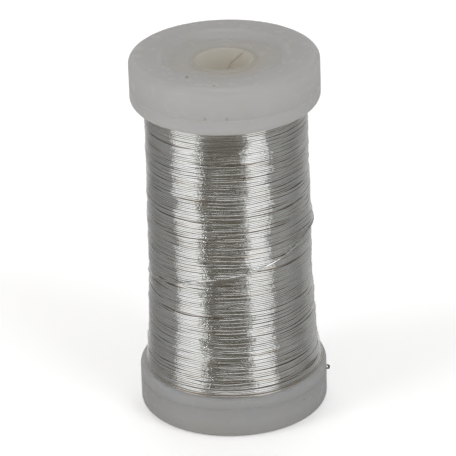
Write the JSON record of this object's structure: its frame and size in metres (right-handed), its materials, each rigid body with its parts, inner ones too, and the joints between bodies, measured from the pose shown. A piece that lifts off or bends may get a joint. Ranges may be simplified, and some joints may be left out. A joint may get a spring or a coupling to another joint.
{
  "type": "wire spool",
  "caption": "Small translucent plastic bobbin with thick rounded hollow flanges and a through bore, wound full with thin bright metal wire.",
  "frame": {"origin": "centre of the lower outer face, on the axis of the bore", "axes": "+Z along the bore towards the upper flange, which is the end that is up in normal standing; +X is about where the outer end of the wire leaves the lower flange"},
  "size_m": [0.0325, 0.032, 0.064],
  "materials": {
    "milky_plastic": "milky translucent moulded polyethylene, softly glossy",
    "tube_plastic": "translucent white extruded tube",
    "bright_wire": "bright drawn wire",
    "inner_wire": "bright drawn wire, packed and in shade"
  },
  "bodies": {
    "root": {"core_tube": "tube_plastic", "upper_flange_plate": "milky_plastic", "upper_end_cap": "milky_plastic", "lower_flange_plate": "milky_plastic", "lower_end_cap": "milky_plastic", "wire_inner_layers": "inner_wire", "wire_outer_layer": "bright_wire", "wire_last_turn": "bright_wire", "wire_start_end": "bright_wire", "wire_tail_end": "bright_wire"}
  },
  "joints": []
}
